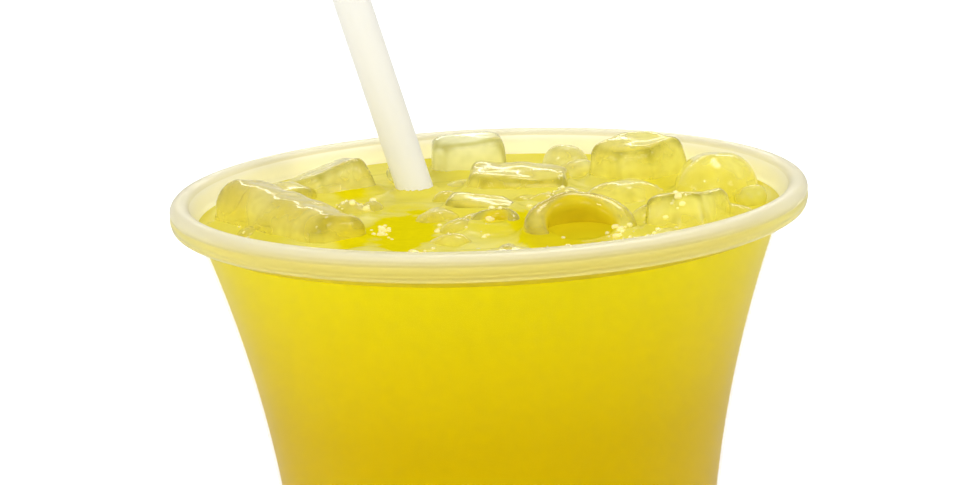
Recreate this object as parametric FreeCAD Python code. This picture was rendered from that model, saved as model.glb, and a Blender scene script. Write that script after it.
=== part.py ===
import FreeCAD, Part
import math
import os
from collections import namedtuple

# Sugarcane juice with ice and a straw, in a flared disposable plastic cup with a rolled rim.
# Millimetres. +Z is up, the origin is the centre of the cup's foot on the table, and +Y is the
# back of the drink. The cup, the juice, the straw and every lump of ice are separate solids.

Vector = FreeCAD.Vector
ORIGIN = Vector(0, 0, 0)
AXIS = Vector(0, 0, 1)

# ---- cup: one thin moulded sheet of clear plastic ----
RIM_D = 98.0            # across the rolled rim
CUP_H = 96.0            # foot to crest
BASE_D = 56.0           # across the foot
SHEET = 0.6             # thickness of the wall and of the roll
LEAN_LESS = 2.8         # degrees: the lower wall leans this much less than the line from foot to rim
LEAN_MORE = 10.8        # degrees: the wall under the roll leans this much more than that line
ROLL_W = 3.1            # width of the rolled rim
ROLL_H = 4.4            # height of the rolled rim
ROLL_TUCK = 48.0        # degrees that the roll's end turns up behind its lowest point
FOOT_RISE = 3.0         # the bottom panel stands this high above the table
FOOT_W = 1.3            # width of the foot ring
PANEL = 0.9             # thickness of the bottom panel
CORNER_R = 1.6          # rounding between the panel and the wall, inside

# ---- juice ----
FREEBOARD = 5.0         # from the juice up to the crest

# ---- straw ----
STRAW_D = 5.8           # outside
STRAW_WALL = 0.25
STRAW_LENGTH = 197.0
STRAW_FOOT_ANGLE = 58.0     # degrees round the floor from +X, where the straw's foot stands
STRAW_ENTRY = (-0.262, 0.466)   # where it leaves the juice, as shares of the mouth's radius
STRAW_GAP = 0.3         # between the straw's foot and the cup

# ---- ice ----
HEAP_R = 44.6           # mouth radius that the heap below is laid out for; the heap follows the mouth
ICE_GAP = 0.2           # least gap between a lump and the cup's wall
SLAB, LOG, PEBBLE, TUBE = "slab", "log", "pebble", "tube"

# One row for each lump: its shape, its length, width and height, the place of its middle, how far
# its top stands out of the juice, and its turn about Z, its pitch and its roll, in degrees.
Lump = namedtuple("Lump", "node shape size place top turn pitch roll")
HEAP = [
    Lump("ice_left_log", LOG, (27.5, 10.5, 13.0), (-31.6, -6.6), 7.2, -52, 5, -8),
    Lump("ice_left_chip", SLAB, (11.0, 9.0, 9.0), (-33.2, 12.8), 4.2, 62, 7, 9),
    Lump("ice_back_left", SLAB, (16.0, 12.5, 13.0), (-24.6, 22.8), 5.8, 34, -13, -10),
    Lump("ice_back", SLAB, (15.0, 8.0, 12.0), (-2.6, 36.0), 6.8, 3, -6, 8),
    Lump("ice_back_flat", SLAB, (20.5, 14.0, 10.0), (4.2, 21.0), 3.8, -6, 2, 6),
    Lump("ice_back_bead", PEBBLE, (8.0, 7.5, 8.0), (11.0, 35.0), 5.2, 0, 10, 12),
    Lump("ice_back_right", SLAB, (15.0, 14.0, 14.0), (24.6, 24.8), 7.4, 42, -9, 5),
    Lump("ice_right_dome", PEBBLE, (17.5, 13.0, 9.8), (37.2, 6.2), 7.6, 82, 4, -6),
    Lump("ice_front_right", SLAB, (15.0, 11.0, 12.0), (30.2, -14.8), 5.9, 56, 8, -10),
    Lump("ice_middle_right", PEBBLE, (15.5, 13.5, 12.0), (19.6, 7.6), 5.4, 20, -6, 5),
    Lump("ice_front_tube", TUBE, (17.0, 9.8, 11.0), (13.2, -15.2), 5.8, 0, 6, 28),
    Lump("ice_middle_ring", TUBE, (8.5, 3.6, 6.0), (1.0, -8.0), 2.4, 0, -8, 20),
    Lump("ice_middle", SLAB, (14.0, 9.5, 9.0), (-2.0, 5.0), 2.6, -12, 4, 9),
    Lump("ice_front", SLAB, (17.0, 11.0, 11.0), (1.0, -32.0), 1.8, -4, -7, 4),
    Lump("ice_front_left", PEBBLE, (14.0, 11.0, 11.0), (-18.6, -28.6), 1.6, -30, 6, -5),
]


def leaning(degrees_from_vertical):
    """Unit vector in the X-Z half plane that leans outwards from straight up."""
    angle = math.radians(degrees_from_vertical)
    return Vector(math.sin(angle), 0, math.cos(angle))


def outward(degrees_from_vertical):
    """Unit normal, on the outer side, of a wall with that lean."""
    return leaning(degrees_from_vertical + 90)


def arc(centre, start, end, through):
    """Arc about a centre from start to end, through the point that lies in a given direction."""
    middle = centre + Vector(through).normalize() * (start - centre).Length
    return Part.Arc(start, middle, end).toShape()


class Wall:
    """Lines of the cup's sheet. 'inset' is measured inwards from the sheet's outer side."""

    def __init__(self):
        self.roll_r = ROLL_W / 2
        self.roll_top = Vector(RIM_D / 2 - self.roll_r, 0, CUP_H - self.roll_r)
        self.roll_low = self.roll_top - AXIS * (ROLL_H - ROLL_W)
        mean = math.degrees(math.atan2(RIM_D / 2 - ROLL_W - BASE_D / 2, CUP_H))
        self.low_lean = mean - LEAN_LESS
        self.top_lean = mean + LEAN_MORE
        self.foot = Vector(BASE_D / 2, 0, 0)
        neck = self.roll_top - outward(self.top_lean) * (self.roll_r - SHEET)
        # The straight lower wall and the flare's chord add up to the way from foot to neck.
        low = leaning(self.low_lean)
        chord = leaning((self.low_lean + self.top_lean) / 2)
        way = neck - self.foot
        straight = (way.x * chord.z - way.z * chord.x) / (low.x * chord.z - low.z * chord.x)
        self.bend = self.foot + low * straight
        half_turn = math.radians((self.top_lean - self.low_lean) / 2)
        self.flare_r = (neck - self.bend).Length / (2 * math.sin(half_turn))
        self.flare_centre = self.bend + outward(self.low_lean) * self.flare_r
        self.floor = FOOT_RISE + PANEL
        self.corner = self.on_straight(SHEET + CORNER_R, self.floor + CORNER_R)

    def on_straight(self, inset, height):
        """Point of the straight lower wall at a height."""
        start = self.foot - outward(self.low_lean) * inset
        low = leaning(self.low_lean)
        return start + low * ((height - start.z) / low.z)

    def bend_point(self, inset):
        return self.bend - outward(self.low_lean) * inset

    def on_flare(self, inset, height):
        """Point of the flared upper wall at a height."""
        radius = self.flare_r + inset
        drop = height - self.flare_centre.z
        return Vector(self.flare_centre.x - math.sqrt(radius ** 2 - drop ** 2), 0, height)

    def flare(self, inset, end):
        """Arc of the flared wall from its lower bend to a point of the same line."""
        start = self.bend_point(inset)
        return arc(self.flare_centre, start, end, (start + end) * 0.5 - self.flare_centre)

    def neck(self, inset):
        return self.roll_top - outward(self.top_lean) * (self.roll_r - SHEET + inset)

    def roll(self, inset):
        """Edges of the rolled rim: over the crest, down the outside and up behind the low point."""
        radius = self.roll_r - SHEET + inset
        outer_top = self.roll_top + Vector(radius, 0, 0)
        outer_low = self.roll_low + Vector(radius, 0, 0)
        end = self.roll_low - leaning(ROLL_TUCK) * radius
        crest = arc(self.roll_top, self.neck(inset), outer_top, AXIS)
        under = arc(self.roll_low, outer_low, end, -AXIS)
        return [crest, Part.makeLine(outer_top, outer_low), under], end

    def inside(self, end):
        """Edges of the cup's inner side, from the middle of its floor to a point of the flare."""
        floor_end = self.corner - AXIS * CORNER_R
        wall_start = self.corner + outward(self.low_lean) * CORNER_R
        corner = arc(self.corner, floor_end, wall_start, outward(self.low_lean) - AXIS)
        floor = Part.makeLine(AXIS * self.floor, floor_end)
        straight = Part.makeLine(wall_start, self.bend_point(SHEET))
        return [floor, corner, straight, self.flare(SHEET, end)]


def revolved(edges):
    """Solid of one closed outline in the X-Z half plane, turned about Z."""
    return Part.Face(Part.Wire(Part.__sortEdges__(edges))).revolve(ORIGIN, AXIS, 360)


def chain(*points):
    """Straight edges from point to point."""
    return [Part.makeLine(a, b) for a, b in zip(points, points[1:])]


def make_cup(wall):
    inner_roll, inner_end = wall.roll(SHEET)
    outer_roll, outer_end = wall.roll(0)
    ring_in = BASE_D / 2 - FOOT_W
    edges = wall.inside(wall.neck(SHEET)) + inner_roll
    edges += [Part.makeLine(inner_end, outer_end)] + outer_roll
    edges += [wall.flare(0, wall.neck(0)), Part.makeLine(wall.bend, wall.foot)]
    edges += chain(wall.foot, Vector(ring_in, 0, 0), Vector(ring_in, 0, FOOT_RISE),
                   AXIS * FOOT_RISE, AXIS * wall.floor)
    return revolved(edges)


def straw_line(wall, level):
    """Foot and direction of the straw's axis: foot near the floor's corner, out through its entry."""
    mouth = wall.on_flare(SHEET, level).x
    entry = Vector(STRAW_ENTRY[0] * mouth, STRAW_ENTRY[1] * mouth, level)
    reach = wall.corner.x - STRAW_D / 2 - STRAW_GAP
    angle = math.radians(STRAW_FOOT_ANGLE)
    foot = Vector(reach * math.cos(angle), reach * math.sin(angle), wall.floor + STRAW_GAP)
    # The lower end is cut square, so a leaning straw stands on one side of its edge.
    lean = (entry - foot).getAngle(AXIS)
    foot.z += STRAW_D / 2 * math.sin(lean)
    return foot, (entry - foot).normalize()


def make_straw(wall, level):
    foot, way = straw_line(wall, level)
    tube = Part.makeCylinder(STRAW_D / 2, STRAW_LENGTH, foot, way)
    return tube.cut(Part.makeCylinder(STRAW_D / 2 - STRAW_WALL, STRAW_LENGTH, foot, way))


def slab_of_ice(length, width, height):
    """Split block: a smaller, shifted top, two corners broken off, and all its edges melted."""
    small = min(length, width, height)
    block = Part.makeWedge(0, 0, 0, 0.10 * width, 0.16 * length,
                           length, height, width, 0.86 * width, 0.92 * length)
    block.rotate(ORIGIN, Vector(1, 0, 0), 90)
    middle = block.BoundBox.Center
    upright = [e for e in block.Edges if e.BoundBox.ZLength > 0.9 * height]
    broken = [e for e in upright if (e.CenterOfMass.x - middle.x) * (e.CenterOfMass.y - middle.y) > 0]
    block = block.makeChamfer(0.26 * small, broken)
    return block.makeFillet(0.12 * small, block.Edges)


def log_of_ice(length, width, height):
    """Block melted nearly round along its length, with softer ends."""
    small = min(width, height)
    block = Part.makeBox(length, width, height)
    block = block.makeFillet(0.36 * small, [e for e in block.Edges if abs(e.tangentAt(0).x) > 0.9])
    return block.makeFillet(0.16 * small, [e for e in block.Edges if e.BoundBox.XLength < 0.1])


def pebble_of_ice(length, width, height):
    """Oval lump, rounder on top than below."""
    puck = Part.makeCylinder(width / 2, height)
    top = [e for e in puck.Edges if e.BoundBox.ZMin > height / 2]
    low = [e for e in puck.Edges if e.BoundBox.ZMax < height / 2]
    puck = puck.makeFillet(0.42 * width, top).makeFillet(0.25 * width, low)
    stretch = FreeCAD.Matrix()
    stretch.scale(Vector(length / width, 1, 1))
    return puck.transformGeometry(stretch)


def tube_of_ice(across, bore, height):
    """Short piece of tube ice: a thick ring with melted edges."""
    ring = Part.makeCylinder(across / 2, height).cut(Part.makeCylinder(bore / 2, height))
    rims = [e for e in ring.Edges if isinstance(e.Curve, Part.Circle)]
    return ring.makeFillet(0.4 * (across - bore) / 2, rims)


MAKERS = {SLAB: slab_of_ice, LOG: log_of_ice, PEBBLE: pebble_of_ice, TUBE: tube_of_ice}


def make_lump(lump, level, scale):
    """One lump of ice, turned and set with its top at its height over the juice."""
    shape = MAKERS[lump.shape](*(size * scale for size in lump.size))
    shape.translate(-shape.BoundBox.Center)
    turned = FreeCAD.Placement(ORIGIN, FreeCAD.Rotation(lump.turn, lump.pitch, lump.roll))
    shape.Placement = turned.multiply(shape.Placement)
    box = shape.BoundBox
    top = Vector(lump.place[0] * scale, lump.place[1] * scale, level + lump.top * scale)
    shape.translate(top - Vector(box.Center.x, box.Center.y, box.ZMax))
    return shape


def clear_of_wall(shape, cup):
    """The lump, moved towards the cup's axis for as long as it is nearer to the wall than its gap."""
    middle = shape.BoundBox.Center
    inward = Vector(-middle.x, -middle.y, 0).normalize()
    while shape.distToShape(cup)[0] < ICE_GAP:
        shape.translate(inward * ICE_GAP)
    return shape


def make_juice(wall, level, straw, lumps):
    """The drink up to its level, inside the straw's bore too, cut round the straw and the ice."""
    surface = wall.on_flare(SHEET, level)
    edges = wall.inside(surface) + chain(surface, AXIS * level, AXIS * wall.floor)
    return revolved(edges).cut([straw] + lumps)


def build():
    wall = Wall()
    level = CUP_H - FREEBOARD
    scale = wall.on_flare(SHEET, level).x / HEAP_R
    parts = {"cup": make_cup(wall), "straw": make_straw(wall, level)}
    for lump in HEAP:
        parts[lump.node] = clear_of_wall(make_lump(lump, level, scale), parts["cup"])
    lumps = [parts[lump.node] for lump in HEAP]
    parts["juice"] = make_juice(wall, level, parts["straw"], lumps)
    return parts


os.makedirs("parts", exist_ok=True)
for node, shape in build().items():
    solid = shape.Solids[0]
    solid.exportStep("parts/" + node + ".step")
    print(f"{node:18s} solids {len(shape.Solids)}  valid {solid.isValid()}  {solid.Volume:10.1f} mm3")
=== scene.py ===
# %% [markdown]
# Iced sugarcane juice in a flared plastic cup.
# The cup, the juice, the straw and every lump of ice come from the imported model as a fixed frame
# in metres. This script measures that frame, makes the finished pieces around it, and lights them.

# %% Load the frame and keep its box
import math
import random

import bmesh
import bpy
import numpy as np
from mathutils import Matrix, Vector, noise
from mathutils.bvhtree import BVHTree


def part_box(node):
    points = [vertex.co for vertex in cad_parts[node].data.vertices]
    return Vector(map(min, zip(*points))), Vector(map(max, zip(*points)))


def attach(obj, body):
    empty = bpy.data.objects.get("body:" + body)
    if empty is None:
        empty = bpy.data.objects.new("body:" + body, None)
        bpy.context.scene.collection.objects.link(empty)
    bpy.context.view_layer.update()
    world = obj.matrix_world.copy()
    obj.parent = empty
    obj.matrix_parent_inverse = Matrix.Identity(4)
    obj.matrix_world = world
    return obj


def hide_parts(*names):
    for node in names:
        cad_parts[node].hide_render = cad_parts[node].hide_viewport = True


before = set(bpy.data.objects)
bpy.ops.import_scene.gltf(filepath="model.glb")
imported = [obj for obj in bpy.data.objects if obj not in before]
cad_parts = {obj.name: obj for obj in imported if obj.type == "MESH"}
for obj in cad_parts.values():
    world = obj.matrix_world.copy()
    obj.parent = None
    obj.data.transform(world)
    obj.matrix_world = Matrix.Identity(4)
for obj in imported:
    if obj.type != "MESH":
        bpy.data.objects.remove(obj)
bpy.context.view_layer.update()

# %% [markdown]
# The sizes that the finished pieces share are read off the frame: how wide and high the rim is,
# between which heights the juice stands, and how wide it is at its top. Everything is in metres, so
# lengths that are easier to think of in millimetres are written as a number times MM.

# %% Sizes read off the frame
MM = 0.001
WELD = 0.001 * MM       # points nearer than this are one
RIM_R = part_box("cup")[1].x
CUP_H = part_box("cup")[1].z
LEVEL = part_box("juice")[1].z
FLOOR_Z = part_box("juice")[0].z
MOUTH_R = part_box("juice")[1].x
ICE_NODES = sorted(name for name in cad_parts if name.startswith("ice_"))
print(f"rim {2e3 * RIM_R:.1f} mm across, juice up to {1e3 * LEVEL:.1f} mm,",
      f"{2e3 * MOUTH_R:.1f} mm across there,", len(ICE_NODES), "lumps of ice")

# %% [markdown]
# A few small helpers carry the whole script. One turns a hex colour into the linear values that
# Cycles works in, and one keeps a share between 0 and 1. One adds a shader node with its settings
# and links. One turns a finished bmesh into an object that rides on the frame, with its material
# and its slot.

# %% Helpers for colours, nodes and pieces
def rgb(hex_colour):
    """Linear RGBA of an sRGB hex colour such as "DFCE16"."""
    parts = [int(hex_colour[i:i + 2], 16) / 255 for i in (0, 2, 4)]
    linear = [c / 12.92 if c <= 0.04045 else ((c + 0.055) / 1.055) ** 2.4 for c in parts]
    return (*linear, 1.0)


def clamp(value):
    """The value, kept between 0 and 1."""
    return min(1, max(0, value))


def add_node(tree, kind, inputs=None, **settings):
    """Adds a node: settings are its own properties, inputs are values or sockets to link from."""
    made = tree.nodes.new("ShaderNode" + kind)
    for name, value in settings.items():
        setattr(made, name, value)
    for name, value in (inputs or {}).items():
        if isinstance(value, bpy.types.NodeSocket):
            tree.links.new(value, made.inputs[name])
        else:
            made.inputs[name].default_value = value
    return made


def new_material(name):
    """An empty node material, with its tree and its output node."""
    material = bpy.data.materials.new(name)
    material.use_nodes = True
    material.node_tree.nodes.clear()
    print("material", name)
    return material, material.node_tree, add_node(material.node_tree, "OutputMaterial")


def as_piece(bm, name, materials, sharp=40.0):
    """Makes a bmesh into an object at the origin that rides on the frame."""
    mesh = bpy.data.meshes.new(name)
    bm.to_mesh(mesh)
    bm.free()
    for material in materials:
        mesh.materials.append(material)
    piece = bpy.data.objects.new(name, mesh)
    bpy.context.scene.collection.objects.link(piece)
    mesh.polygons.foreach_set("use_smooth", [True] * len(mesh.polygons))
    mesh.set_sharp_from_angle(angle=math.radians(sharp))
    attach(piece, "root")
    print(name, len(mesh.vertices), "points", len(mesh.polygons), "faces")
    return piece


# %% [markdown]
# Clear plastic and ice have a practical problem in a path tracer: a lamp's light doesn't find its
# way through a bent surface, so what is behind it stays dark. Each clear material therefore lets
# rays from lamps pass straight through, and bends only what the eye sees.

# %% Helper that lets lamps shine through a clear material
def let_lamps_through(tree, surface, output, tint=(1, 1, 1, 1)):
    """Mixes the surface with a plain see-through shader for shadow rays."""
    path = add_node(tree, "LightPath")
    clear = add_node(tree, "BsdfTransparent", {"Color": tint})
    mix = add_node(tree, "MixShader", {
        0: path.outputs["Is Shadow Ray"], 1: surface, 2: clear.outputs[0]})
    tree.links.new(mix.outputs[0], output.inputs["Surface"])


# %% [markdown]
# The cup is one sheet of polypropylene, 0.6 mm thick, drawn over a mould while hot. It has three
# finishes. The wall is nearly clear: less than half of it covers the juice and its gloss is tinted
# dark, because so thin a sheet would otherwise lie over the drink as a grey veil. The rim is rolled
# over on itself, so one looks through more sheet there, and the stretched plastic has gone milky.
# At its foot it is painted with the yellow light of the juice behind it, and it is whiter at its crest.
# The inner side of the lip, between the drink and the roll, is milky all over. One shader makes all
# three.

# %% Materials of the cup: drawn polypropylene, clear wall, milky rolled rim and milky lip
CREST_FROM = CUP_H - 2.3 * MM      # between these heights the haze and the tint
CREST_FULL = CUP_H - 0.8 * MM      # go from the foot's to the crest's


def drawn_polypropylene(name, haze, roughness, bending, colours, tint, cover):
    """Sheet with faint thickness waves from the drawing.

    Its haze and its colour are given for its foot and its crest.
    """
    material, tree, output = new_material(name)
    place = add_node(tree, "TexCoord").outputs["Object"]
    # uneven drawing, in waves of 9 mm, makes the reflections wander a little
    waves = add_node(tree, "TexNoise", {"Vector": place, "Scale": 1 / (9 * MM), "Detail": 2.0})
    bump = add_node(tree, "Bump", {"Height": waves.outputs["Fac"], "Strength": 0.25,
                                   "Distance": 0.15 * MM})
    height = add_node(tree, "SeparateXYZ", {0: place}).outputs["Z"]
    crest = add_node(tree, "MapRange", {"Value": height, "From Min": CREST_FROM,
                                        "From Max": CREST_FULL}, interpolation_type="SMOOTHSTEP")
    clear = add_node(tree, "Math", {
        0: crest.outputs["Result"], 1: haze[0] - haze[1], 2: 1 - haze[0]}, operation="MULTIPLY_ADD")
    colour = add_node(tree, "Mix", {0: crest.outputs["Result"], 6: colours[0], 7: colours[1]},
                      data_type="RGBA")
    sheet = add_node(tree, "BsdfPrincipled", {
        "Base Color": colour.outputs[2], "Roughness": roughness, "IOR": bending,
        "Specular Tint": tint, "Alpha": cover,
        "Transmission Weight": clear.outputs[0], "Normal": bump.outputs["Normal"]})
    let_lamps_through(tree, sheet.outputs[0], output)
    return material


# smooth and thin: the juice shows through it unchanged, with a soft sheen
WALL_PLASTIC = drawn_polypropylene("polypropylene_clear_wall", (0.0, 0.0), 0.06, 1.49,
                                   [rgb("FFFFFF")] * 2, (0.2, 0.2, 0.2, 1), 0.45)
# thicker and hazy: a satin band that scatters the light into a pale line; its foot is painted
# with the juice's yellow light
RIM_PLASTIC = drawn_polypropylene("polypropylene_milky_rolled_rim", (0.06, 0.36), 0.28, 1.25,
                                  [rgb("D7CB6C"), rgb("E7E2C8")], (0.3, 0.3, 0.3, 1), 1.0)
# half milky: a pale ring that sets the drink off from the roll
INNER_PLASTIC = drawn_polypropylene("polypropylene_milky_inner_lip", (0.45, 0.5), 0.28, 1.25,
                                    [rgb("F9F7EC")] * 2, (0.3, 0.3, 0.3, 1), 1.0)

# %% [markdown]
# The cup is a turned shape, so one cut through its wall says all of it. The cut is made on a copy
# of the CAD cup: the copy is merged, sliced at the plane Y = 0, and the edge that is left is walked
# from the middle of the floor, up the inside, round the rim and down the outside. Two fine lines
# that the rolling tool presses round the outside of the roll are then added to it.

# %% Outline of the cup's wall
ROLL_FOOT = CUP_H - 4.3 * MM
ROLL_STEP = 0.12 * MM              # between the points of the roll
PRESSED_FROM = RIM_R - 1.2 * MM    # only the outside of the roll is pressed
# height, half width and depth of each pressed line
LINES = [(CUP_H - 2.0 * MM, 0.28 * MM, 0.22 * MM), (CUP_H - 3.2 * MM, 0.22 * MM, 0.15 * MM)]


def cut_outline(node):
    """(radius, height) points of a turned CAD node, from its inner floor round the rim and back."""
    bm = bmesh.new()
    bm.from_mesh(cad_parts[node].data)
    bmesh.ops.remove_doubles(bm, verts=bm.verts, dist=WELD)
    bmesh.ops.bisect_plane(bm, geom=bm.verts[:] + bm.edges[:] + bm.faces[:], dist=WELD,
                           plane_co=(0, 0, 0), plane_no=(0, 1, 0),
                           clear_inner=True, clear_outer=True)
    right = {v for v in bm.verts if v.co.x > 0}
    walked = [min(right, key=lambda v: v.co.x + abs(v.co.z - FLOOR_Z))]
    while True:
        ahead = [e.other_vert(walked[-1]) for e in walked[-1].link_edges]
        ahead = [v for v in ahead if v in right and v not in walked]
        if not ahead:
            break
        walked.append(ahead[0])
    points = [(v.co.x, v.co.z) for v in walked]
    bm.free()
    return [(0.0, points[0][1])] + points + [(0.0, points[-1][1])]


def dent(height):
    """How deep the pressed lines are at a height."""
    return sum(deep * math.exp(-((height - middle) / wide) ** 2) for middle, wide, deep in LINES)


def pressed(points):
    """The outline with its rolled rim in even steps, and the pressed lines in it."""
    fine = [points[0]]
    for (r0, z0), (r1, z1) in zip(points, points[1:]):
        on_roll = min(z0, z1) > ROLL_FOOT
        steps = math.ceil(math.hypot(r1 - r0, z1 - z0) / ROLL_STEP) if on_roll else 1
        fine += [(r0 + (r1 - r0) * i / steps, z0 + (z1 - z0) * i / steps)
                 for i in range(1, steps + 1)]
    return [(r - dent(z) if r > PRESSED_FROM and z > ROLL_FOOT else r, z) for r, z in fine]


CUP_OUTLINE = pressed(cut_outline("cup"))
CREST_POINT = CUP_OUTLINE.index(max(CUP_OUTLINE, key=lambda p: p[1]))
print("cup outline", len(CUP_OUTLINE), "points, the highest is number", CREST_POINT)

# %% [markdown]
# Spinning that outline once round the Z axis gives a smooth cup. A full spin is told to merge its
# last ring with its first, and the points on the axis are merged afterwards. The faces of the roll
# and of the last millimetres under it get the milky materials, the inner one up to where the lip
# bends over.

# %% Turn the outline into the cup
TURN_STEPS = 288
WALL, RIM, LIP = range(3)          # places in the cup's list of materials
MILKY_FROM = CUP_H - 5.6 * MM      # the haze starts just under the roll
LIP_TOP = CUP_H - 1.5 * MM         # the inner side over this belongs to the roll


def turned(points):
    """A closed shape of revolution from (radius, height) points."""
    bm = bmesh.new()
    verts = [bm.verts.new((radius, 0, height)) for radius, height in points]
    edges = [bm.edges.new(pair) for pair in zip(verts, verts[1:])]
    bmesh.ops.spin(bm, geom=verts + edges, cent=(0, 0, 0), axis=(0, 0, 1), dvec=(0, 0, 0),
                   angle=math.tau, steps=TURN_STEPS, use_merge=True, use_duplicate=False)
    bmesh.ops.remove_doubles(bm, verts=bm.verts, dist=WELD)
    bmesh.ops.recalc_face_normals(bm, faces=bm.faces)
    return bm


bm = turned(CUP_OUTLINE)
for face in bm.faces:
    middle = face.calc_center_median()
    faces_in = face.normal.x * middle.x + face.normal.y * middle.y < 0
    face.material_index = WALL
    if middle.z > MILKY_FROM:
        face.material_index = LIP if faces_in and middle.z < LIP_TOP else RIM
cup = as_piece(bm, "cup_sheet", [WALL_PLASTIC, RIM_PLASTIC, INNER_PLASTIC])
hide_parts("cup")

# %% [markdown]
# Ice that has floated in a drink for a while has no sharp edges: water runs off it and melts
# shallow dimples. Each lump starts from its CAD solid, so its size and place are right. The copy is
# merged and remeshed into even small faces, relaxed, pushed in and out by two sizes of noise, and
# relaxed again.

# %% Melt a lump of ice
VOXEL = 0.42 * MM
DIMPLE = 5.0 * MM       # how wide a melted dimple is
RIPPLE = 1.9 * MM       # and a ripple between the dimples


def relax(bm, times):
    """Evens the surface out, as running water does."""
    for _ in range(times):
        bmesh.ops.smooth_vert(bm, verts=bm.verts, factor=0.5, use_axis_x=True, use_axis_y=True,
                              use_axis_z=True)
    bm.normal_update()


def melt(bm, number, dimple=0.5 * MM, ripple=0.05 * MM):
    """Pushes the surface in and out by two sizes of noise, different for each number."""
    bm.normal_update()
    shift = Vector((7.3, 3.1, 5.7)) * number
    for vert in bm.verts:
        dimples = noise.noise(vert.co / DIMPLE + shift)
        ripples = noise.noise(vert.co / RIPPLE - shift)
        vert.co += vert.normal * (dimple * dimples + ripple * ripples)


def melted_copy(node, number):
    """Melted copy of a CAD lump, as a bmesh."""
    bm = bmesh.new()
    bm.from_mesh(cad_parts[node].data)
    bmesh.ops.remove_doubles(bm, verts=bm.verts, dist=WELD)
    mesh = bpy.data.meshes.new("melt")
    bm.to_mesh(mesh)
    bm.free()
    solid = bpy.data.objects.new("melt", mesh)
    bpy.context.scene.collection.objects.link(solid)
    remesh = solid.modifiers.new("even faces", "REMESH")
    remesh.mode = "VOXEL"
    remesh.voxel_size = VOXEL
    depsgraph = bpy.context.evaluated_depsgraph_get()
    bm = bmesh.new()
    bm.from_mesh(solid.evaluated_get(depsgraph).to_mesh())
    bpy.data.objects.remove(solid)
    bpy.data.meshes.remove(mesh)
    relax(bm, 4)
    melt(bm, number)
    relax(bm, 3)
    return bm


# %% [markdown]
# Three things colour wet ice from place to place. Juice runs down it, so it is yellow at its foot
# and paler on top, where painted shade makes it a duller olive. Sharp ridges let less light through,
# and this is painted as shade: an olive that draws each lump's outline. And the bore of a piece of
# tube ice is filled with light that has come through the juice, painted as shade of a deep gold.
# They are worked out from the shape and kept with each point of the mesh.

# %% Colour values kept with the points of the ice
# each value shows from the first number on, and is full when it is the second number past it
RIDGE_FROM, RIDGE_SPAN = 0.17, 0.3      # how much the surface bends over a millimetre
BORE_FROM, BORE_SPAN = 0.15, 0.4        # how squarely it faces the lump's own middle
BORE_REACH = 8 * MM                     # a bore is this near to that middle
BEND_EVENED = 3                         # times that the bend is evened out with its neighbours


def mark_ice(bm, tall=6 * MM, edges=1.0):
    """Writes height over the juice (0 foot, 1 top), ridge and bore (0 to 1), for film and painted
    shade.
    """
    drained_and_shaded, ridge, bore = (bm.verts.layers.float.new(name)
                            for name in ("drained_and_shaded", "ridge", "bore"))
    middle = sum((v.co for v in bm.verts), Vector()) / len(bm.verts)
    bend = {}
    for vert in bm.verts:
        turns = [(vert.normal - e.other_vert(vert).normal).dot(vert.co - e.other_vert(vert).co)
                 / max(e.calc_length() ** 2, 1e-12) for e in vert.link_edges]
        bend[vert] = MM * sum(turns) / max(len(turns), 1)
    for _ in range(BEND_EVENED):
        bend = {v: 0.5 * b + 0.5 * sum(bend[e.other_vert(v)] for e in v.link_edges)
                / max(len(v.link_edges), 1) for v, b in bend.items()}
    for vert in bm.verts:
        out = (vert.co - middle) * Vector((1, 1, 0))
        inwards = -vert.normal.dot(out.normalized()) if out.length > 0 else 0
        vert[drained_and_shaded] = clamp((vert.co.z - LEVEL) / tall)
        vert[ridge] = edges * clamp((bend[vert] - RIDGE_FROM) / RIDGE_SPAN)
        vert[bore] = clamp((inwards - BORE_FROM) / BORE_SPAN) if out.length < BORE_REACH else 0


# %% [markdown]
# Wet ice is smooth and clear outside, with a cloudy heart where air was trapped as it froze. In
# this drink a film of juice covers it: yellow at the foot, and on top a duller, paler olive, which is
# painted shade. The lumps on the right are a brighter lime, and those at the back are painted whiter,
# for the pale rim that shines through them. The cloud is a noise of 5 mm that turns part of the
# shader from clear to milky.

# %% Material of the ice: melting water ice, wet with juice
BACKWARDS = (-0.15, 1.0, 0.0)           # across the drink, away from its front
# the ridges' olive is painted shade
RIDGE_SHADE, RIDGE_SHADE_LOST = 0.85, -0.35         # share of the ridges' colour, and what the back loses
BORE_CLOUD, BACK_CLOUD = -0.45, -0.25   # clearness that a bore and the back lose


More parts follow.
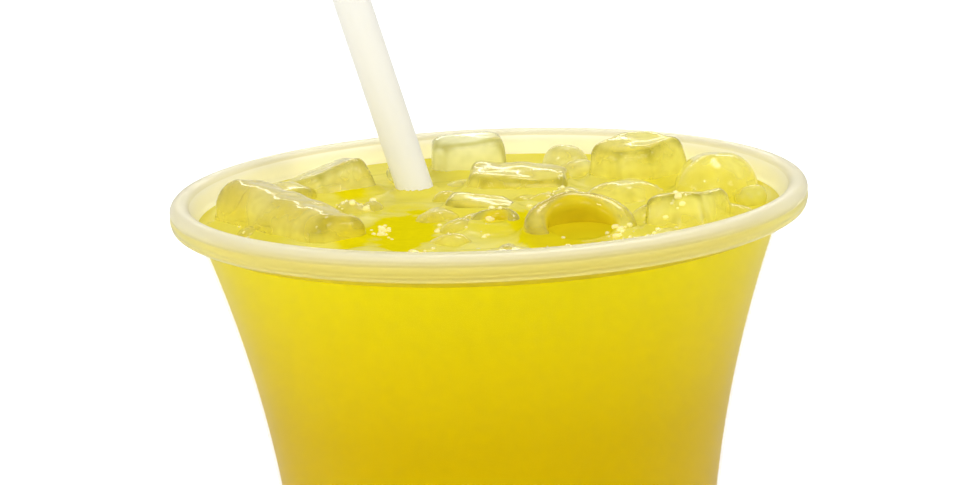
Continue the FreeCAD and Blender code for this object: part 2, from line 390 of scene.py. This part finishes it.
def melting_ice():
    """Clear ice with a cloudy heart, coloured by place and by the values kept with its points."""
    material, tree, output = new_material("water_ice_melting_wet")
    place = add_node(tree, "TexCoord").outputs["Object"]

    def kept(name):
        return add_node(tree, "Attribute", attribute_name=name).outputs["Fac"]

    def blend(share, under, over):
        return add_node(tree, "Mix", {0: share, 6: under, 7: over}, data_type="RGBA").outputs[2]

    # trapped air: the eye sees into the lump here and is stopped there
    cloud = add_node(tree, "TexNoise", {"Vector": place, "Scale": 1 / (5 * MM), "Detail": 2.0})
    heart = add_node(tree, "MapRange", {"Value": cloud.outputs["Fac"], "From Min": 0.35,
                                        "From Max": 0.7, "To Min": 0.82, "To Max": 0.5})
    # juice runs off the top and stays at the foot, and the top's duller olive is painted shade
    colour = blend(kept("drained_and_shaded"), rgb("ECE462"), rgb("DBD288"))
    # lime on the right
    across = add_node(tree, "SeparateXYZ", {0: place}).outputs["X"]
    side = add_node(tree, "MapRange", {"Value": across, "From Min": 0.2 * RIM_R,
                                       "From Max": 0.7 * RIM_R, "To Max": 0.8})
    colour = blend(side.outputs["Result"], colour, rgb("F3EF84"))
    # painted light: whiter at the back, where the pale rim shines through
    away = add_node(tree, "VectorMath", {0: place, 1: BACKWARDS}, operation="DOT_PRODUCT")
    back = add_node(tree, "MapRange", {"Value": away.outputs["Value"], "From Min": 0.35 * RIM_R,
                                       "From Max": 0.8 * RIM_R, "To Max": 0.85})
    colour = blend(back.outputs["Result"], colour, rgb("F8FADA"))
    # painted shade: olive on the ridges draws each lump's shape, and a deep gold fills its bore
    fade = add_node(tree, "Math", {0: back.outputs["Result"], 1: RIDGE_SHADE_LOST, 2: RIDGE_SHADE},
                    operation="MULTIPLY_ADD")
    painted_ridge_shade = add_node(tree, "Math", {0: kept("ridge"), 1: fade.outputs[0]}, operation="MULTIPLY")
    colour = blend(painted_ridge_shade.outputs[0], colour, rgb("A29C38"))
    colour = blend(kept("bore"), colour, rgb("D2BE1E"))
    clear = heart.outputs["Result"]
    for part, loss in ((kept("bore"), BORE_CLOUD), (back.outputs["Result"], BACK_CLOUD)):
        clear = add_node(tree, "Math", {0: part, 1: loss, 2: clear},
                         operation="MULTIPLY_ADD").outputs[0]
    # the running film of water breaks the highlights up
    film = add_node(tree, "TexNoise", {"Vector": place, "Scale": 1 / (2.2 * MM), "Detail": 1.0})
    bump = add_node(tree, "Bump", {"Height": film.outputs["Fac"], "Strength": 0.15,
                                   "Distance": 0.12 * MM})
    ice = add_node(tree, "BsdfPrincipled", {
        "Base Color": colour, "Roughness": 0.13, "IOR": 1.31, "Specular IOR Level": 0.36,
        "Transmission Weight": clear, "Normal": bump.outputs["Normal"]})
    let_lamps_through(tree, ice.outputs[0], output, rgb("FBF8D8"))
    return material


ICE = melting_ice()

# %% [markdown]
# Every lump of the frame gets its melted copy, which takes its place in the render. A search tree
# of each surface is kept: the juice climbs it, and drops land on it.

# %% Make the lumps
ice_trees = []
for number, node in enumerate(ICE_NODES):
    bm = melted_copy(node, number)
    mark_ice(bm)
    ice_trees.append(BVHTree.FromBMesh(bm))
    lump = as_piece(bm, node.replace("ice_", "lump_"), [ICE], sharp=180)
    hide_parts(node)

# %% [markdown]
# Pressed cane juice is cloudy with fine pulp, so it isn't seen into: it is a solid golden yellow.
# Painted light changes it with height: deepest at half its height and brightest just under the
# surface. Against the wall it has no gloss of its own, because the plastic lies on it. The open
# surface is wet and shines a little, and it is painted a tenth darker as shade. The pools between the
# ice lie in shade and mirror nothing pale, so they are without gloss too, and painted a tenth darker;
# the one in front of the tube of ice is painted with shade as a duller gold.

# %% Material of the juice: cloudy pressed cane juice
# colour at each share of the juice's height; the change is painted light, brightest just under the
# surface and lifted again at the bottom
GOLD_AND_PAINTED_LIGHT = [(0.0, "CDAE08"), (0.5, "C4A400"), (0.7, "C8AC00"), (0.85, "D6BF02"), (1.0, "DDCD0A")]


def cane_juice(name, gloss, painted_shade=1.0):
    """Yellow body with a slow change of colour with height, which is painted light, and faint pulp."""
    material, tree, output = new_material(name)
    place = add_node(tree, "TexCoord").outputs["Object"]
    height = add_node(tree, "SeparateXYZ", {0: place}).outputs["Z"]
    depth = add_node(tree, "MapRange", {"Value": height, "From Min": 0.0, "From Max": LEVEL})
    ramp = add_node(tree, "ValToRGB", {"Fac": depth.outputs["Result"]})
    ramp.color_ramp.elements[1].position = GOLD_AND_PAINTED_LIGHT[-1][0]
    for position, colour in GOLD_AND_PAINTED_LIGHT[1:-1]:
        ramp.color_ramp.elements.new(position)
    for element, (position, colour) in zip(ramp.color_ramp.elements, GOLD_AND_PAINTED_LIGHT):
        element.position = position
        element.color = rgb(colour)
    # pulp: specks of 1.4 mm, a few hundredths lighter or darker, keep the body from looking painted
    pulp = add_node(tree, "TexNoise", {"Vector": place, "Scale": 1 / (1.4 * MM), "Detail": 3.0})
    # the specks' range is scaled by the shade, which darkens the whole colour as painted shade
    faint = add_node(tree, "MapRange", {"Value": pulp.outputs["Fac"], "From Min": 0.3,
                                        "From Max": 0.7, "To Min": 0.95 * painted_shade,
                                        "To Max": 1.03 * painted_shade})
    colour = add_node(tree, "VectorMath", {0: ramp.outputs["Color"],
                                           "Scale": faint.outputs["Result"]}, operation="SCALE")
    # crushed ice under the surface makes it paler, and painted shade makes it a duller gold
    pale = add_node(tree, "Attribute", attribute_name="pale").outputs["Fac"]
    colour = add_node(tree, "Mix", {0: pale, 6: colour.outputs["Vector"], 7: rgb("D4C95A")},
                      data_type="RGBA")
    deep = add_node(tree, "Attribute", attribute_name="deep").outputs["Fac"]
    colour = add_node(tree, "Mix", {0: deep, 6: colour.outputs[2], 7: rgb("C8B616")},
                      data_type="RGBA")
    body = add_node(tree, "BsdfPrincipled", {
        "Base Color": colour.outputs[2], "Roughness": 0.2 if gloss else 0.6, "IOR": 1.34,
        "Specular IOR Level": 0.03 if gloss else 0.0})
    tree.links.new(body.outputs[0], output.inputs["Surface"])
    return material


JUICE_SIDE = cane_juice("cane_juice_against_the_wall", gloss=False)
# the open surface and the pools are painted with shade, a tenth darker than the side
JUICE_TOP = cane_juice("cane_juice_open_surface", gloss=True, painted_shade=0.9)
JUICE_POOL = cane_juice("cane_juice_deep_pool", gloss=False, painted_shade=0.9)

# %% [markdown]
# The top of the juice is pulled up where it wets something: 1 mm at the wall, and about as much
# round each lump of ice and the straw. Crushed ice lies just under most of it, which makes it pale
# and a little uneven; a few pools between the lumps are deep and clear of ice. Pools are ovals with
# ragged edges, so each is written as its middle and its two half widths.

# %% Sizes of the juice's surface
INTO_WALL = 0.05 * MM       # the side reaches into the sheet, or a gap of air would show
CLIMB = 1.1 * MM            # how far the juice climbs what it wets
REACH = 0.9 * MM            # how quickly that falls off
NEAR_ICE = 4 * MM           # ice farther off than this pulls nothing up
RING_STEP = 0.5 * MM        # between the rings of the top
SWELL, SWELL_WIDE = 0.25 * MM, 7 * MM       # slow waves of the surface
SLUSH = 0.32 * MM                           # how far crushed ice lifts it
SLUSH_WIDE, SLUSH_FINE = 3.2 * MM, 1.7 * MM
FINE_SHARE = 0.3

# middle and half widths, in mm
POOLS = [(-13.2, -9.0, 6.5, 18.0), (14.0, -13.0, 6.0, 8.0), (5.8, -9.0, 3.4, 10.0),
         (9.0, -22.0, 5.5, 8.0), (-20.5, -14.0, 4.0, 8.0), (-22.5, 20.0, 3.5, 4.0)]
SHADED = (12.0, -17.5, 6.4, 11.5)
POOL_EDGE, POOL_FADE = 0.8, 0.3             # where a pool ends, as a share of its oval
SHADE_EDGE, SHADE_FADE = 1.15, 0.25
RAGGED = [(0.3, 5 * MM), (0.15, 1.6 * MM)]  # share and width of what frays a pool's edge
PALE, PALE_VARIES, PALE_WIDE = 0.72, 0.75, 9 * MM       # paleness outside the pools
NOISE_HEIGHT = 0.003                        # the height at which those noises are read

TOP_DIP, TOP_TILT = 0.8 * MM, 0.2           # a face of the top lies and points at least so high
POOL_PALENESS = 0.12                        # a face that is less pale belongs to a pool

# %% [markdown]
# Four things are asked of the frame and of each place on the surface: how wide the cup is inside at
# a height, where the straw's axis runs, how much crushed ice lies under the place, and how deep its
# shade is.

# %% Measures of the wall, the straw and the surface
def wall_radius(height):
    """Inner radius of the wall at a height, between the outline's points."""
    inner = [p for p in CUP_OUTLINE[:CREST_POINT] if 0.5 * RIM_R < p[0]]
    return float(np.interp(height, [p[1] for p in inner], [p[0] for p in inner]))


def straw_axis():
    """Two ends and the radius of the CAD straw's axis."""
    points = np.array([v.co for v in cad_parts["straw"].data.vertices])
    middle = points.mean(0)
    way = np.linalg.svd(points - middle)[2][0]
    way *= np.sign(way[2])
    along = (points - middle) @ way
    radius = np.linalg.norm(points - middle - np.outer(along, way), axis=1).max()
    return Vector(middle + way * along.min()), Vector(middle + way * along.max()), float(radius)


def how_far(x, y, oval):
    """0 in the middle of an oval, 1 on its edge."""
    middle_x, middle_y, half_x, half_y = oval
    return math.hypot((x / MM - middle_x) / half_x, (y / MM - middle_y) / half_y)


def paleness(x, y):
    """How much crushed ice lies under the surface at a place: 0 in a pool, up to 1."""
    place = Vector((x, y, NOISE_HEIGHT))
    pale = PALE + PALE_VARIES * noise.noise(place / PALE_WIDE)
    ragged = sum(share * noise.noise(place / wide) for share, wide in RAGGED)
    for pool in POOLS:
        pale *= clamp((how_far(x, y, pool) + ragged - POOL_EDGE) / POOL_FADE)
    return clamp(pale)


def shadow(x, y):
    """How deep the gold is: 1 in the shaded pool in front of the tube of ice."""
    return clamp((SHADE_EDGE - how_far(x, y, SHADED)) / SHADE_FADE)


STRAW_FOOT, STRAW_END, STRAW_R = straw_axis()
STRAW_WAY = (STRAW_END - STRAW_FOOT).normalized()
print(f"straw {2e3 * STRAW_R:.2f} mm thick, wall {2e3 * wall_radius(LEVEL):.1f} mm across at the juice")

# %% [markdown]
# The juice fills the cup, so its side follows the inside of the wall. The top is first turned flat
# and fine, in rings that end on the axis. Then each of its points is lifted, and gets its paleness
# and its shade as values kept on the mesh.

# %% Make the juice
wet_edge = LEVEL + CLIMB
side = [(r + INTO_WALL, z - INTO_WALL) for r, z in CUP_OUTLINE[:CREST_POINT]
        if z < LEVEL and r > 0]
side = [(0.0, FLOOR_Z - INTO_WALL)] + side + [(wall_radius(wet_edge) + INTO_WALL, wet_edge)]
rings = int(side[-1][0] / RING_STEP)
top = [(side[-1][0] * (1 - i / rings), wet_edge) for i in range(1, rings + 1)]
bm = turned(side + top)
pale_value, painted_shade_value = (bm.verts.layers.float.new(name) for name in ("pale", "deep"))
for vert in bm.verts:
    if vert.co.z < wet_edge - WELD:
        continue
    from_axis = math.hypot(vert.co.x, vert.co.y)
    spot = Vector((vert.co.x, vert.co.y, LEVEL))
    gaps = [side[-1][0] - from_axis]
    for tree in ice_trees:
        hit, normal, index, gap = tree.find_nearest(spot, NEAR_ICE)
        if hit is not None:
            inside = (spot - hit).dot(normal) < 0
            gaps.append(0.0 if inside else gap)
    beside = (spot - STRAW_FOOT).cross(STRAW_WAY).length - STRAW_R
    gaps.append(abs(beside))
    near = math.exp(-min(gaps) / REACH)
    vert[pale_value] = paleness(vert.co.x, vert.co.y)
    vert[painted_shade_value] = shadow(vert.co.x, vert.co.y)
    waves = noise.noise(spot / SWELL_WIDE) * SWELL
    lumpy = (noise.noise(spot / SLUSH_WIDE) + FINE_SHARE * noise.noise(spot / SLUSH_FINE)) * SLUSH
    vert.co.z = LEVEL + CLIMB * near + (waves + lumpy * vert[pale_value]) * (1 - near)
for face in bm.faces:
    is_top = min(v.co.z for v in face.verts) > LEVEL - TOP_DIP and face.normal.z > TOP_TILT
    is_pool = is_top and max(v[pale_value] for v in face.verts) < POOL_PALENESS
    face.material_index = is_top + is_pool
juice_tree = BVHTree.FromBMesh(bm)
juice = as_piece(bm, "juice_fill", [JUICE_SIDE, JUICE_TOP, JUICE_POOL], sharp=70)
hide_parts("juice")

# %% [markdown]
# Between the large lumps lie small ones, sunk but for their tops. Each starts as a fine ball,
# squashed by its own three sizes, and gets the same melted dimples as the large ones, so no two
# are alike. They make one piece. A few places are chosen, to fill the gaps beside the large lumps.
# The rest are drawn at random from a fixed seed, clear of the pools, the straw and the wall.

# %% Sunk ice between the lumps
SUNK_COUNT = 38
SUNK_FROM_WALL = 6                  # mm
SUNK_FROM_STRAW = 4 * MM
SUNK_PALENESS = 0.35                # small ice lies where there is crushed ice too
HALF_SIZES = [(2.8, 5.2), (2.2, 3.6), (1.8, 2.8)]      # least and most of each, in mm
SUNK_NUMBER = 40                    # their noise is counted on from here

random.seed(7)
# (x, y, rise) in mm
places = [(40.2, 0.5, 3.0), (37.6, -10.5, 2.4), (29.5, -25.5, 2.2), (-30.5, 2.5, 2.2),
          (14.5, 28.5, 2.6), (-13.5, 30.0, 2.8), (33.0, 18.0, 2.6), (24.0, -8.0, 2.4)]
while len(places) < SUNK_COUNT:
    turn = random.uniform(0, math.tau)
    out = (wall_radius(LEVEL) / MM - SUNK_FROM_WALL) * math.sqrt(random.random())
    x, y = out * math.cos(turn), out * math.sin(turn)
    beside = (Vector((x, y, LEVEL / MM)) * MM - STRAW_FOOT).cross(STRAW_WAY).length
    if paleness(x * MM, y * MM) > SUNK_PALENESS and beside > STRAW_R + SUNK_FROM_STRAW:
        places.append((x, y, random.uniform(0.5, 2.0)))
bm = bmesh.new()
for made, (x, y, rise) in enumerate(places):
    lump = bmesh.new()
    bmesh.ops.create_icosphere(lump, subdivisions=4, radius=1.0)
    half = Vector([random.uniform(*span) for span in HALF_SIZES]) * MM
    shape = (Matrix.Translation((x * MM, y * MM, 0))
             @ Matrix.Rotation(random.uniform(0, math.pi), 4, "Z")
             @ Matrix.Rotation(random.uniform(-0.3, 0.3), 4, "Y") @ Matrix.Diagonal((*half, 1)))
    bmesh.ops.transform(lump, matrix=shape, verts=lump.verts)
    melt(lump, SUNK_NUMBER + made, dimple=1.1 * MM, ripple=0.15 * MM)
    relax(lump, 2)
    lift = LEVEL + rise * MM - max(v.co.z for v in lump.verts)
    bmesh.ops.translate(lump, verts=lump.verts, vec=(0, 0, lift))
    mark_ice(lump, tall=2 * MM, edges=0.35)
    part = bpy.data.meshes.new("sunk")
    lump.to_mesh(part)
    lump.free()
    bm.from_mesh(part)
    bpy.data.meshes.remove(part)
sunk_tree = BVHTree.FromBMesh(bm)
as_piece(bm, "sunk_ice", [ICE], sharp=180)

# %% [markdown]
# Where ice meets the juice, foam bubbles and drops of meltwater gather, a fraction of a millimetre
# to about 1.5 mm across. They are what glitters on the surface. They look like clear beads, from
# nearly white to pale yellow, with a small sharp highlight each.

# %% Material of the bubbles and drops: clear water with a little juice
def clear_drops():
    """Clear beads, mottled from nearly white to pale yellow."""
    material, tree, output = new_material("juice_bubbles_and_meltwater_drops")
    place = add_node(tree, "TexCoord").outputs["Object"]
    mottle = add_node(tree, "TexNoise", {"Vector": place, "Scale": 1 / (1.2 * MM), "Detail": 2.0})
    colour = add_node(tree, "Mix", {0: mottle.outputs["Fac"], 6: rgb("FFFEE8"), 7: rgb("FAF0A0")},
                      data_type="RGBA")
    drop = add_node(tree, "BsdfPrincipled", {
        "Base Color": colour.outputs[2], "Roughness": 0.08, "IOR": 1.34,
        "Transmission Weight": 0.55})
    let_lamps_through(tree, drop.outputs[0], output, rgb("FBF8D8"))
    return material


DROPS = clear_drops()

# %% [markdown]
# Each is a squashed ball, dropped from above onto whatever it hits first, and half sunk in it. They
# lie in clusters beside the ice, and one piece holds them all.

# %% Bubbles and drops
# middle (x, y), spread (x, y) and count, in mm
CLUSTERS = [((19.8, -8.1), (0.8, 3.5), 9), ((19.4, -21.0), (1.6, 2.5), 20),
            ((12.0, -27.5), (1.2, 2.5), 14), ((16.2, -25.5), (1.2, 2.0), 8),
            ((23.1, -22.0), (1.6, 1.0), 6), ((-17.0, -6.0), (0.9, 3.5), 9),
            ((-15.5, -11.0), (1.0, 3.0), 6), ((-10.2, -25.0), (2.2, 2.5), 10),
            ((-8.0, -9.5), (0.8, 1.6), 4), ((7.6, 5.0), (1.2, 2.5), 7),
            ((0.5, -5.0), (1.6, 2.0), 6), ((-0.5, -15.0), (1.4, 2.5), 6),
            ((3.5, -24.0), (3.0, 1.6), 9), ((-22.5, 9.5), (2.6, 3.5), 34),
            ((-37.5, -9.5), (1.4, 2.5), 9), ((28.0, -18.0), (2.4, 2.4), 12),
            ((11.5, 14.0), (2.0, 4.0), 7), ((27.0, 12.0), (1.5, 3.0), 5)]
SPREAD = 1.5                            # standard deviations that a cluster's spread stands for
SMALL, LARGE = (0.15, 0.4), (0.4, 0.7)  # radii in mm
SMALL_SHARE = 0.75
FLATNESS = (0.6, 0.85)
SUNK_SHARE = 0.15                       # a drop's middle is this share of its radius up
DROP_FROM_WALL = 1.2 * MM
HIGH_ABOVE = CUP_H + 20 * MM

random.seed(11)
bm = bmesh.new()
for (x, y), (wide, deep), count in CLUSTERS:
    for _ in range(count):
        size = random.uniform(*(SMALL if random.random() < SMALL_SHARE else LARGE))
        above = Vector((random.gauss(x, wide / SPREAD), random.gauss(y, deep / SPREAD), 0)) * MM
        above.z = HIGH_ABOVE
        if math.hypot(above.x, above.y) > wall_radius(LEVEL) - DROP_FROM_WALL:
            continue
        falls = [tree.ray_cast(above, Vector((0, 0, -1)))[0]
                 for tree in ice_trees + [juice_tree, sunk_tree]]
        lands = max(hit.z for hit in falls if hit is not None)
        shape = (Matrix.Translation((above.x, above.y, lands + SUNK_SHARE * size * MM))
                 @ Matrix.Diagonal((1, 1, random.uniform(*FLATNESS), 1)))
        bmesh.ops.create_icosphere(bm, subdivisions=3, radius=size * MM, matrix=shape)
as_piece(bm, "surface_drops", [DROPS], sharp=180)

# %% [markdown]
# The straw is a thin tube of white polypropylene, extruded, with a silky gloss. It is an open tube
# without caps, given its wall, and leant along the axis of the CAD straw. It ends a hair early, so
# that its leaning end stays inside the box of the frame.

# %% Material and mesh of the straw: white extruded polypropylene
def white_polypropylene():
    """White plastic that lets a little light through; fine grain makes its gloss silky."""
    material, tree, output = new_material("polypropylene_white_extruded")
    place = add_node(tree, "TexCoord").outputs["Object"]
    grain = add_node(tree, "TexNoise", {"Vector": place, "Scale": 1 / (1.5 * MM), "Detail": 2.0})
    rough = add_node(tree, "MapRange", {"Value": grain.outputs["Fac"],
                                        "To Min": 0.28, "To Max": 0.42})
    tube = add_node(tree, "BsdfPrincipled", {
        "Base Color": rgb("FEFDF9"), "Roughness": rough.outputs["Result"], "IOR": 1.49,
        "Transmission Weight": 0.25})
    tree.links.new(tube.outputs[0], output.inputs["Surface"])
    return material


STRAW_WALL = 0.25 * MM
STRAW_SHORT = 0.05 * MM
bm = bmesh.new()
length = (STRAW_END - STRAW_FOOT).length - STRAW_SHORT
bmesh.ops.create_cone(bm, segments=72, cap_ends=False, radius1=STRAW_R, radius2=STRAW_R,
                      depth=length)
bmesh.ops.translate(bm, verts=bm.verts, vec=(0, 0, length / 2))
bmesh.ops.recalc_face_normals(bm, faces=bm.faces)
bmesh.ops.solidify(bm, geom=bm.faces[:], thickness=STRAW_WALL)
lean = Vector((0, 0, 1)).rotation_difference(STRAW_WAY).to_matrix().to_4x4()
bmesh.ops.transform(bm, matrix=Matrix.Translation(STRAW_FOOT) @ lean, verts=bm.verts)
straw = as_piece(bm, "straw_tube", [white_polypropylene()])
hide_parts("straw")

# %% [markdown]
# The stage is a plain pale floor under a white dome. The eye, reflections and what is seen through
# the plastic meet them as white, and the object's soft shadow stays on the floor.

# %% Floor
FLOOR_R = 4.0
FLOOR_GLOW = 0.62       # added to what is seen straight or through plastic
FLOOR_SHINE = 0.1       # added to what is mirrored


def rays_that_see_white(tree):
    """Sockets that are 1 for what is seen straight or through plastic, and for mirror rays."""
    path = add_node(tree, "LightPath")
    unlit = add_node(tree, "Math", {0: path.outputs["Diffuse Depth"], 1: 0.5},
                     operation="LESS_THAN")
    through = add_node(tree, "Math", {0: path.outputs["Is Transmission Ray"], 1: unlit.outputs[0]},
                       operation="MULTIPLY")
    straight = add_node(tree, "Math", {0: path.outputs["Is Camera Ray"], 1: through.outputs[0]},
                        operation="MAXIMUM")
    return straight.outputs[0], path.outputs["Is Glossy Ray"]


def stage_floor():
    """Matt pale floor that looks white and still takes a shadow."""
    material, tree, output = new_material("studio_floor_white")
    matte = add_node(tree, "BsdfDiffuse", {"Color": rgb("E6E6E6")})
    straight, glossy = rays_that_see_white(tree)
    seen = add_node(tree, "Math", {0: straight, 1: FLOOR_GLOW}, operation="MULTIPLY")
    shine = add_node(tree, "Math", {0: glossy, 1: FLOOR_SHINE, 2: seen.outputs[0]},
                     operation="MULTIPLY_ADD")
    glow = add_node(tree, "Emission", {"Color": rgb("FFFFFF"), "Strength": shine.outputs[0]})
    mix = add_node(tree, "AddShader", {0: matte.outputs[0], 1: glow.outputs[0]})
    tree.links.new(mix.outputs[0], output.inputs["Surface"])
    return material


bm = bmesh.new()
bmesh.ops.create_circle(bm, cap_ends=True, segments=96, radius=FLOOR_R)
floor_mesh = bpy.data.meshes.new("floor")
bm.to_mesh(floor_mesh)
bm.free()
floor_mesh.materials.append(stage_floor())
floor = bpy.data.objects.new("floor", floor_mesh)
bpy.context.scene.collection.objects.link(floor)
print("floor", 2 * FLOOR_R, "m across")

# %% [markdown]
# The dome gives an even light all round, a little stronger from the horizon than from overhead.
# What is seen straight, or through plastic, is white at a strength of 1.

# %% World
DOME_LOW, DOME_HIGH = 0.78, 0.60
DOME_SEEN = 1.0

world = bpy.data.worlds.new("studio")
bpy.context.scene.world = world
world.use_nodes = True
tree = world.node_tree
tree.nodes.clear()
direction = add_node(tree, "TexCoord").outputs["Generated"]
way_up = add_node(tree, "SeparateXYZ", {0: direction}).outputs["Z"]
dome = add_node(tree, "MapRange", {"Value": way_up, "From Min": 0.0, "From Max": 0.9,
                                   "To Min": DOME_LOW, "To Max": DOME_HIGH})
strength = add_node(tree, "Mix", {0: rays_that_see_white(tree)[0], 2: dome.outputs["Result"],
                                  3: DOME_SEEN}, data_type="FLOAT")
sky = add_node(tree, "Background", {"Color": (1, 1, 1, 1), "Strength": strength.outputs[0]})
add_node(tree, "OutputWorld", {"Surface": sky.outputs[0]})
print("dome", DOME_LOW, "at the horizon", DOME_HIGH, "overhead")

# %% [markdown]
# Six soft boxes do the lighting, all aimed at the middle of the drink's surface. The main one is
# high on the left, and a large one in front lights the cup's side. A fill on the right and a low
# one on the left keep the sides from going dark. One behind makes the wet ice sparkle, and a narrow
# strip low behind draws the glints along its edges.

# %% Lamps
TARGET = Vector((0, 0, LEVEL))


def soft_box(name, azimuth, elevation, distance, wide, high, power):
    """Area lamp that faces the top of the drink; azimuth 0 is the front, 90 the right."""
    light = bpy.data.lights.new(name, "AREA")
    light.shape = "RECTANGLE"
    light.size, light.size_y = wide, high
    light.energy = power
    lamp = bpy.data.objects.new(name, light)
    a, e = math.radians(azimuth), math.radians(elevation)
    back = Vector((math.sin(a) * math.cos(e), -math.cos(a) * math.cos(e), math.sin(e)))
    lamp.location = TARGET + back * distance
    lamp.rotation_euler = (-back).to_track_quat("-Z", "Y").to_euler()
    bpy.context.scene.collection.objects.link(lamp)
    print("lamp", name, power, "W")
    return lamp


# name, azimuth, elevation, distance, width, height, power
soft_box("main_box", -42, 52, 2.0, 0.3, 0.3, 9.0)
soft_box("front_box", -4, 22, 2.2, 1.1, 1.1, 12.8)
soft_box("right_box", 66, 30, 2.0, 0.8, 0.8, 10.5)
soft_box("left_box", -75, 4, 2.0, 0.8, 0.8, 7.5)
soft_box("back_box", 165, 56, 2.0, 0.4, 0.4, 4.5)
soft_box("glint_strip", 178, 24, 2.0, 1.4, 0.06, 3.0)

# %% [markdown]
# The camera stands in front, a little above the rim, and looks down by about twelve degrees with a
# long lens. It is placed from the rim's middle, and turned so that the rim sits above the centre
# of the view and the straw leaves through its top edge. It leans by two and a half degrees, as a
# camera in the hand does.

# %% Camera
SENSOR = 36.0
EYE_DISTANCE = 450 * MM
EYE_ANGLE = math.radians(11.3)
LENS = 108.3
AIM_DOWN = math.radians(12.45)
ROLL = math.radians(-2.5)
YAW = math.radians(0.1)

rim_middle = Vector((0, 0, CUP_H))
camera_data = bpy.data.cameras.new("camera")
camera_data.sensor_width = SENSOR
camera_data.lens = LENS
camera = bpy.data.objects.new("camera", camera_data)
bpy.context.scene.collection.objects.link(camera)
camera.location = rim_middle + EYE_DISTANCE * Vector((0, -math.cos(EYE_ANGLE),
                                                      math.sin(EYE_ANGLE)))
aim = (Matrix.Rotation(YAW, 4, "Z") @ Matrix.Rotation(math.pi / 2 - AIM_DOWN, 4, "X")
       @ Matrix.Rotation(ROLL, 4, "Z"))
camera.rotation_euler = aim.to_euler()
bpy.context.scene.camera = camera
bpy.context.scene.view_settings.view_transform = "Standard"
print("camera at", [round(c, 4) for c in camera.location])
